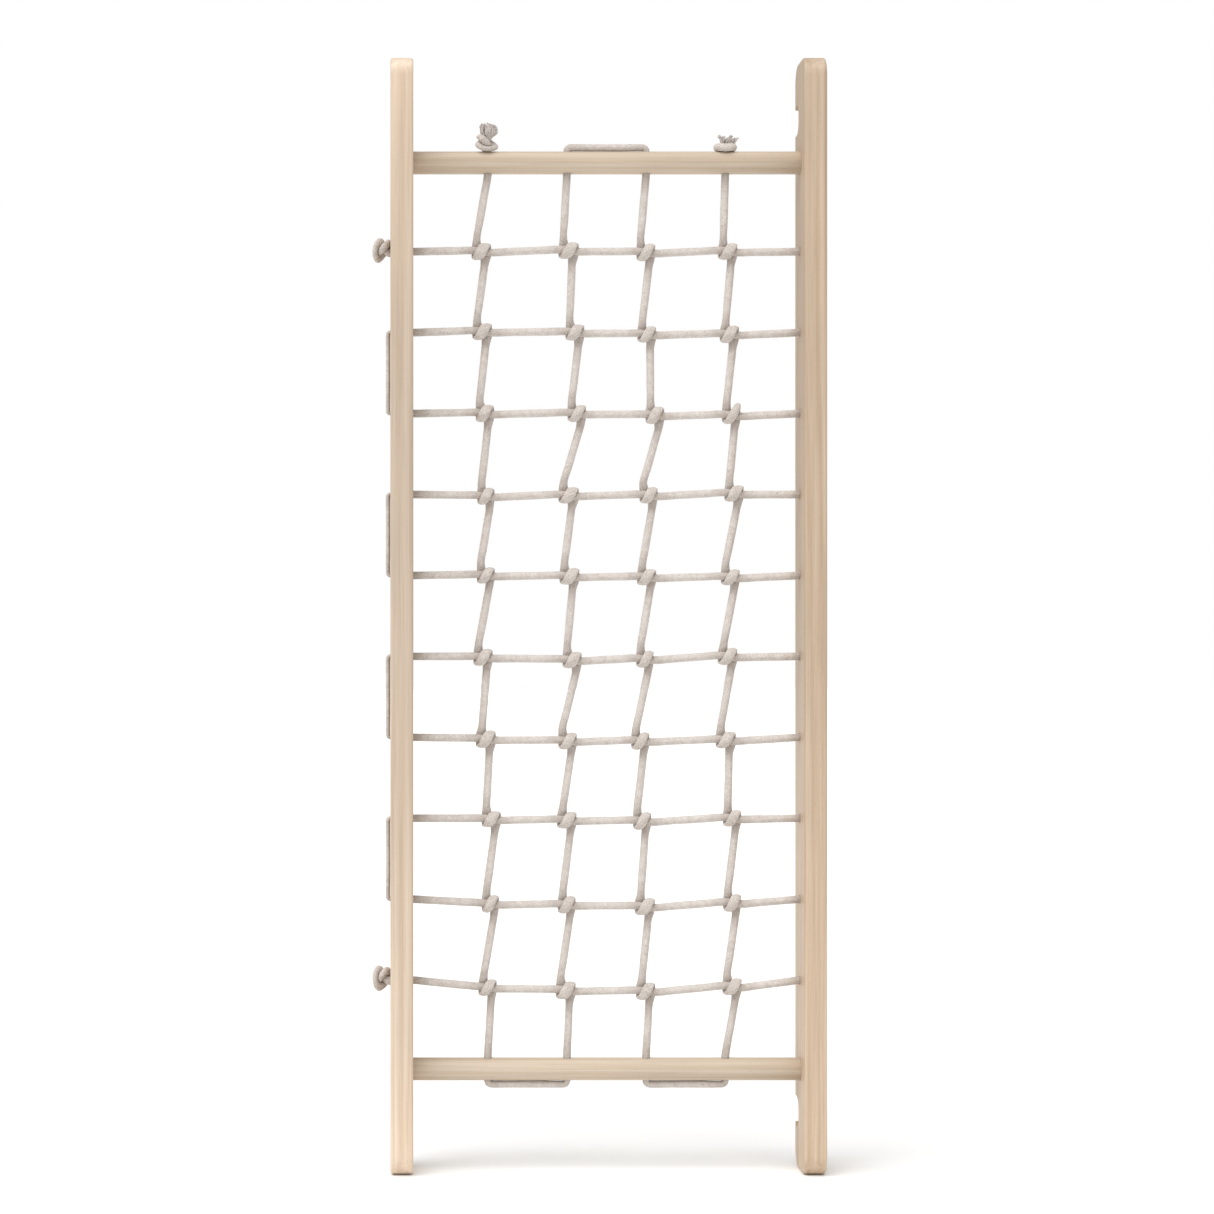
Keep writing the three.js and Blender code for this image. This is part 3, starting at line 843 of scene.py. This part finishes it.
# Keys of the turn: down behind the row rope on the left, under it, up across its front to the right,
# over it and down behind again
def turnKeys(place, pulledBy):
    keys = []
    centre = place - Vector((0, crossing["rowForward"], 0))
    flat, wide = (size * (1 + crossing["unlike"] * random.uniform(-1, 1)) for size in crossing["squash"])
    reach = net["ropeRadius"] + flat + 0.05 * mm
    lead = crossing["lead"] * (1 + crossing["unlike"] * random.uniform(-1, 1))
    late = random.uniform(-crossing["late"], crossing["late"])
    for degrees in range(crossing["from"], crossing["to"] + 1, crossing["stepAngle"]):
        angle = math.radians(degrees)
        share = min(1, max(0, (degrees - crossing["crossFrom"] - late) / crossing["crossOver"]))
        eased = share * share * (3 - 2 * share)
        x = lead * (2 * eased - 1)
        outward = Vector((0, math.sin(angle), math.cos(angle)))
        point = math.exp(-(((degrees - crossing["pointAt"]) / crossing["pointWidth"]) ** 2)) * pulledBy
        middle = centre + Vector((x + point * 0.5, 0, 0)) + outward * (reach + point)
        keys.append(key(middle, outward, (flat + point * 0.2, wide - point * 0.5), 0.15))
    return keys


def makeColumn(column):
    x = columnX(column)
    top, bottom = rungZ["top"], rungZ["bottom"]
    keys = [
        roundKey((x, 0, top + rungRadius), 0.4),
        roundKey((x, 0, top), 0.4),
        roundKey((x, 0, top - rungRadius), 0.6),
    ]
    for row in range(net["rows"]):
        place = knotPlace(row, column)
        before = Vector(keys[-1][:3])
        aside = random.uniform(*crossing["aside"]) * mm
        arrive = place + Vector((aside - crossing["lead"], crossing["columnBack"], crossing["above"]))
        if row > 0:
            keys.append(roundKey(before.lerp(arrive, 0.12), 0.15))
        for share in (0.35, 0.7):
            keys.append(roundKey(before.lerp(arrive, share)))
        keys.append(roundKey(arrive, 0.3))
        pulled = crossing["pulledBy"] if (row, column) == crossing["pulledOut"] else 0
        keys += turnKeys(place, pulled)
        leaveX = crossing["lead"] - random.uniform(*crossing["inward"]) * mm
        leave = place + Vector((leaveX, crossing["columnBack"] + 0.8 * mm, -crossing["below"]))
        keys.append(roundKey(leave, 0.4))
    over = Vector((x, 0, bottom + rungRadius))
    before = Vector(keys[-1][:3])
    keys.append(roundKey(before.lerp(over, 0.4), 0.0))
    keys.append(roundKey(over, 0.5))
    keys.append(roundKey((x, 0, bottom), 0.4))
    keys.append(roundKey((x, 0, bottom - rungRadius), 0.4))
    path = throughKeys(keys, rope["step"])
    piece = sweepRope(f"tied_column_{column + 1}", path)
    nodes = [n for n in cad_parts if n.startswith(f"column_rope_{column + 1}_part_")]
    finishPiece(piece, cotton, "cotton_rope", *nodes)


def makeRow(row):
    z = rowZ(row)
    keys = [
        roundKey((midX - railOut, 0, z), 0.6),
        roundKey((midX - railIn, 0, z), 0.6),
    ]
    for column in range(net["columns"]):
        place = knotPlace(row, column) - Vector((0, crossing["rowForward"], 0))
        step = Vector((crossing["rowReach"], 0, -crossing["rowStep"]))
        before = Vector(keys[-1][:3])
        for share in (0.3, 0.7):
            keys.append(roundKey(before.lerp(place - step, share)))
        keys.append(roundKey(place - step, 0.35))
        keys.append(roundKey(place + step, 0.35))
    before = Vector(keys[-1][:3])
    end = Vector((midX + railIn, 0, z))
    keys.append(roundKey(before.lerp(end, 0.3), 0.0))
    keys.append(roundKey(before.lerp(end, 0.8), 0.1))
    keys.append(roundKey(end, 0.6))
    keys.append(roundKey((midX + railOut, 0, z), 0.6))
    path = throughKeys(keys, rope["step"])
    piece = sweepRope(f"tied_row_{row + 1}", path, fromLength=row * 13 * mm)
    stem = f"row_rope_{row + 1}"
    nodes = [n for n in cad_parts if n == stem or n.startswith(stem + "_part_")]
    finishPiece(piece, cotton, "cotton_rope", *nodes)


for column in range(net["columns"]):
    makeColumn(column)
for row in range(net["rows"]):
    makeRow(row)
print("net tied")

loop = {
    "inside": 4 * mm,  # how deep a loop's ends reach into the holes
    "insideHalves": (3.6 * mm, 4.4 * mm),
    "bend": 4.2 * mm,  # largest radius of a bend out of a hole
    "bendSteps": 5,
    "railHalves": (2.35 * mm, 4.7 * mm),
    "rungHalves": (3.9 * mm, 4.7 * mm),
    "off": 0.35 * mm,  # between the wood and the rope lying on it
}


# Out of one hole, along the wood and back into the next hole. Outward and along are unit directions.
def makeLoop(node, start, outward, along, span, halves):
    start, outward, along = Vector(start), Vector(outward), Vector(along)
    middle = halves[0] + loop["off"]
    bend = min(middle, loop["bend"])
    keys = [key(start - outward * loop["inside"], -along, loop["insideHalves"], 0.7)]
    for step in range(loop["bendSteps"] + 1):
        angle = step / loop["bendSteps"] * math.pi / 2
        away = middle - bend + bend * math.sin(angle)
        place = start + outward * away + along * bend * (1 - math.cos(angle))
        normal = along * -math.cos(angle) + outward * math.sin(angle)
        keys.append(key(place, normal, halves, 0.3))
    keys.append(key(start + outward * middle + along * span * 0.3, outward, halves, 0.1))
    half = [list(k) for k in keys]
    for k in reversed(half):
        place, normal = Vector(k[:3]), Vector(k[3:6])
        place = place + along * (span - 2 * (place - start).dot(along))
        normal = normal - along * 2 * normal.dot(along)
        keys.append([*place, *normal, *k[6:]])
    path = throughKeys(keys, rope["step"])
    piece = sweepRope("rope_" + node, path)
    finishPiece(piece, cotton, "cotton_rope", node)


for side, name, firstRow in ((-1, "left", 1), (1, "right", 0)):
    for row in range(firstRow, net["rows"] - 1, 2):
        start = (midX + side * railOut, 0, rowZ(row))
        node = f"{name}_loop_rows_{row + 1}_{row + 2}"
        makeLoop(node, start, (side, 0, 0), (0, 0, -1), rowPitch, loop["railHalves"])
for column in range(net["columns"] - 1):
    end, up = ("top", 1) if column % 2 else ("bottom", -1)
    start = (columnX(column), 0, rungZ[end] + up * rungRadius)
    node = f"{end}_loop_columns_{column + 1}_{column + 2}"
    makeLoop(node, start, (0, 0, up), (1, 0, 0), columnPitch, loop["rungHalves"])
print("loops laid")

endKnot = {
    "thick": 7.9 * mm,  # the rope, pulled tight
    "beads": 110,
    "rounds": 1500,
    "length": 140 * mm,  # of the rope in the knot and its two short ends
    "halfSpan": 34 * mm,
    "sunk": 0.8 * mm,  # how far jamming presses it into the hole's rim
}


# An overhand knot pulled tight: beads along the rope keep their spacing, never come closer than the rope
# is thick and can't bend sharply, while the rope between the two held ends grows shorter. Its rope runs
# along X, and its bulge points to -Y.
def tightenKnot():
    thick = endKnot["thick"]
    beads = endKnot["beads"]
    turn = np.linspace(math.pi + 0.35, 3 * math.pi - 0.35, 400)
    lobes = [np.sin(turn) + 2 * np.sin(2 * turn), np.cos(turn) - 2 * np.cos(2 * turn), -np.sin(3 * turn)]
    curve = np.vstack([[9, -6, 0.6], np.stack(lobes, axis=1), [-9, -6, -0.6]]) * 9 * mm
    lengths = np.concatenate([[0], np.cumsum(np.linalg.norm(np.diff(curve, axis=0), axis=1))])
    even = np.linspace(0, lengths[-1], beads)
    points = np.stack([np.interp(even, lengths, curve[:, k]) for k in range(3)], axis=1)
    ends = points[0].copy(), points[-1].copy()
    held = np.array([endKnot["halfSpan"], 0, 0])
    apart = np.abs(np.arange(beads)[:, None] - np.arange(beads)[None, :])
    for step in range(endKnot["rounds"]):
        share = min(1, step / (0.75 * endKnot["rounds"]))
        rest = (lengths[-1] + (endKnot["length"] - lengths[-1]) * share) / (beads - 1)
        points[0] = ends[0] + (held - ends[0]) * share
        points[-1] = ends[1] + (-held - ends[1]) * share
        offsets = points[:, None, :] - points[None, :, :]
        gaps = np.linalg.norm(offsets, axis=2)
        touching = (apart > math.ceil(1.5 * thick / rest)) & (gaps < thick)
        push = np.where(touching, (thick - gaps) / np.maximum(gaps, 1e-9), 0.0)
        shared = np.maximum(touching.sum(axis=1, keepdims=True), 1) ** 0.5
        points += 0.5 * (offsets * push[:, :, None]).sum(axis=1) / shared
        for span, least in ((2, 0.97), (4, 0.9)):
            chord = points[span:] - points[:-span]
            size = np.linalg.norm(chord, axis=1, keepdims=True)
            move = chord * (0.25 * np.maximum(least * span * rest - size, 0) / np.maximum(size, 1e-9))
            points[span:] += move
            points[:-span] -= move
        points[1:-1] += 0.05 * ((points[2:] + points[:-2]) / 2 - points[1:-1])
        for first in (0, 1, 0, 1, 0, 1):
            i = np.arange(first, beads - 1, 2)
            gap = points[i + 1] - points[i]
            size = np.linalg.norm(gap, axis=1, keepdims=True)
            move = gap * (0.5 * (size - rest) / np.maximum(size, 1e-9))
            points[i] += move
            points[i + 1] -= move
    return points


# Directions across a path that turn with it as little as they can
def steadyNormals(places, start):
    tangents = unit(np.gradient(places, axis=0))
    normals = [np.array(start, float)]
    for tangent in tangents:
        normal = normals[-1] - tangent * np.dot(normals[-1], tangent)
        normals.append(normal / np.linalg.norm(normal))
    return np.array(normals[1:])


# A path for sweepRope through places, with one thickness or one for each place
def pathThrough(places, halves, wearAndPaintedShade):
    places = np.array(places, float)
    halves = np.broadcast_to(np.array(halves, float), (len(places),))
    evenly = throughKeys([[*place, half, half] for place, half in zip(places, halves)], rope["step"])
    tangent = evenly[1, :3] - evenly[0, :3]
    start = np.cross(tangent, (0.31, 0.87, 0.38))
    normals = steadyNormals(evenly[:, :3], start / np.linalg.norm(start))
    return np.hstack([evenly[:, :3], normals, evenly[:, 3:5], np.full((len(evenly), 1), wearAndPaintedShade)])


def joinPieces(pieces):
    deselectAll()
    for piece in pieces:
        piece.select_set(True)
    bpy.context.view_layer.objects.active = pieces[0]
    if len(pieces) > 1:
        bpy.ops.object.join()
    return pieces[0]


# Sets down a piece whose rope ran along X. The rope's end then points outward, roll turns the knot about
# it, and the squeeze, along and across the rope, is from jamming against the wood.
def setDown(piece, base, outward, roll, squeeze):
    lift = -bodyLow * squeeze[0] - endKnot["sunk"]
    outward = np.array(outward, float)
    up = np.array((0, 0, 1.0)) if abs(outward[2]) < 0.5 else np.array((1.0, 0, 0))
    turned = np.cross(outward, up) * math.cos(roll) + up * math.sin(roll)
    other = np.cross(outward, turned)
    places = np.empty(len(piece.data.vertices) * 3, np.float32)
    piece.data.vertices.foreach_get("co", places)
    places = places.reshape(-1, 3)
    moved = (
        np.array(base)
        + np.outer(places[:, 0] * squeeze[0] + lift, outward)
        + np.outer(places[:, 1] * squeeze[1], turned)
        + np.outer(places[:, 2] * squeeze[1], other)
    )
    piece.data.vertices.foreach_set("co", moved.astype(np.float32).ravel())
    piece.data.update()


tight = tightenKnot()
tight[:, 1] -= (tight[15, 1] + tight[-15, 1]) / 2
bodyLow = tight[25:-25, 0].min() - endKnot["thick"] / 2
print("knot tightened")


# The tightened rope from inside the hole to a place along it, with its half thickness there
def stopperPath(endAt, halfAt):
    inside = -24 * mm
    places = [p for p in tight if p[0] > inside or p[1] < -6 * mm]
    order = places if places[0][0] < places[-1][0] else places[::-1]
    while order[-1][0] > endAt:
        order = order[:-1]
    order = order[::2]
    halves = [halfAt(i / (len(order) - 1), p[0]) for i, p in enumerate(order)]
    return pathThrough(order, halves, 0.2)


rowStopper = {"squeeze": (0.73, 1.2), "endAt": 10 * mm, "rolls": {0: 2.5, 9: 1.9}}


def makeRowStopper(row, node):
    path = stopperPath(rowStopper["endAt"], lambda share, x: endKnot["thick"] / 2)
    piece = sweepRope(f"overhand_knot_row_{row + 1}", path)
    base = (midX - railOut, 0, rowZ(row))
    setDown(piece, base, (-1, 0, 0), rowStopper["rolls"][row], rowStopper["squeeze"])
    finishPiece(piece, cotton, "cotton_rope", node)


makeRowStopper(0, "row_rope_end_knot_top")
makeRowStopper(net["rows"] - 1, "row_rope_end_knot_bottom")
print("row knots made")

frayed = {
    "strandHalf": 1.15 * mm,
    "tipHalf": 0.7 * mm,
    "sides": 8,
    "tuftStrands": 46,
    "tuftHalf": 7.9 * mm,  # how wide the combed-out end of column 1 bulges
    "tuftFrom": 9 * mm,  # along its rope, before the squeeze
    "tuftTo": 31 * mm,
    "tuftRoot": 2.4 * mm,  # half-width where the strands leave the rope
    "turnReach": (8.6, 8.2),  # half-sizes of the flat turn under the fan, mm
    "turnHeight": 4.5,
    "turnSag": 1.1,  # where it hangs over the round of the rung
    "turnHalf": 4.3 * mm,
    "fanRootHeight": 6.5,
    "fanStrands": 36,
    # root, tip and height of each bunch of strands above the last turn, mm
    "fanBunches": (
        (-4, -6.7, 17.6), (-2.7, -2.4, 17), (0.5, 1.3, 14.5), (3, 7, 17.5), (6.5, 10.5, 14), (9, 13.5, 15),
    ),
    "squeeze": (0.7, 1.12),
    "roll": 3.93,
}


def makeStrand(places):
    last = len(places) - 1
    root, change = frayed["strandHalf"], frayed["tipHalf"] - frayed["strandHalf"]
    halves = [root + change * (i / last) ** 2 for i in range(last + 1)]
    return sweepRope("strand", pathThrough(places, halves, 0.05), sides=frayed["sides"])


# Column 1 ends in an overhand knot whose tail has come unbraided into a blunt tuft
def makeTuftedStopper(node):
    start, end = frayed["tuftFrom"], frayed["tuftTo"]

    def halfAt(share, x):
        if share < 0.5 or x < start:
            return endKnot["thick"] / 2
        return endKnot["thick"] / 2 * (1 - 0.3 * min(1, (x - start) / (end - start)))

    pieces = [sweepRope("knotted_end_column_1", stopperPath(end - 5 * mm, halfAt))]
    tail = tight if tight[-1, 0] > tight[0, 0] else tight[::-1]
    tail = tail[len(tail) // 2 :]
    tail = tail[tail[:, 0] > start - 2 * mm]
    for number in range(frayed["tuftStrands"]):
        around = 2 * math.pi * number * 0.618 + random.uniform(-0.2, 0.2)
        deep = (0.45, 0.75, 0.9, 1.0, 1.0)[number % 5]
        twist = random.uniform(-0.3, 0.7)
        stop = end - (deep ** 3) * 3 * mm + random.uniform(-2.5, 1) * mm
        places = []
        for x in np.linspace(start - 1 * mm, stop, 10):
            share = (x - start) / (end - start)
            centreY, centreZ = (np.interp(x, tail[:, 0], tail[:, k]) for k in (1, 2))
            angle = around + twist * share
            opened = math.sin(math.pi / 2 * min(1, max(0, share) * 2.4))
            wide = frayed["tuftRoot"] + (frayed["tuftHalf"] * deep - frayed["tuftRoot"]) * opened
            wide *= 1 - 0.35 * max(0, (share - 0.7) / 0.3) ** 2
            places.append((x, centreY + wide * math.cos(angle), centreZ + wide * math.sin(angle)))
        pieces.append(makeStrand(places))
    piece = joinPieces(pieces)
    base = (columnX(0), 0, rungZ["top"] + rungRadius)
    setDown(piece, base, (0, 0, 1), frayed["roll"], frayed["squeeze"])
    finishPiece(piece, cotton, "cotton_rope", node)


# Column 4 ends in one flat turn on the rung, with its strands combed out above it
def makeFannedStopper(node):
    base = Vector((columnX(net["columns"] - 1), 0, rungZ["top"] + rungRadius))
    up = (0, 0, 1)
    flat = (frayed["turnHalf"], frayed["turnHalf"])
    reachX, reachY = frayed["turnReach"]
    keys = [
        roundKey(base + Vector((0, 0, -4)) * mm, 0.4),
        roundKey(base + Vector((0.5, 0.5, 0.5)) * mm, 0.3),
        key(base + Vector((3, 3.5, 3.8)) * mm, (0, 0.3, 1), flat, 0.2),
    ]
    for degrees in range(30, -300, -22):
        angle = math.radians(degrees)
        height = frayed["turnHeight"] - frayed["turnSag"] * math.sin(angle) ** 2
        place = base + Vector((reachX * math.cos(angle), reachY * math.sin(angle), height)) * mm
        keys.append(key(place, up, flat, 0.1))
    keys.append(key(base + Vector((-0.5, 4.5, 6)) * mm, up, (4 * mm, 4 * mm), 0.2))
    keys.append(key(base + Vector((0, 0.5, 7.8)) * mm, (0, -1, 1), (2.6 * mm, 3.4 * mm), 0.2))
    pieces = [sweepRope("knotted_end_column_4", throughKeys(keys, rope["step"]))]
    for number in range(frayed["fanStrands"]):
        root, tip, tall = frayed["fanBunches"][number % len(frayed["fanBunches"])]
        tip += random.uniform(-1.3, 1.3)
        deep = random.uniform(-5.5, 5.5)
        tall += random.uniform(-1.8, 0.6)
        curl = random.uniform(-1, 1)
        places = []
        for share in np.linspace(0, 1, 7):
            low = frayed["fanRootHeight"]
            rise = low + (tall - low) * math.sin(math.pi / 2 * share ** 0.9)
            side = curl * math.sin(math.pi * share)
            reach = root + (tip - root) * share ** 1.2 + side
            places.append(base + Vector((reach, deep * (0.3 + 0.7 * share) - side, rise)) * mm)
        pieces.append(makeStrand([tuple(p) for p in places]))
    piece = joinPieces(pieces)
    finishPiece(piece, cotton, "cotton_rope", node)


makeTuftedStopper("column_rope_end_knot_left")
makeFannedStopper("column_rope_end_knot_right")
print("column knots made")
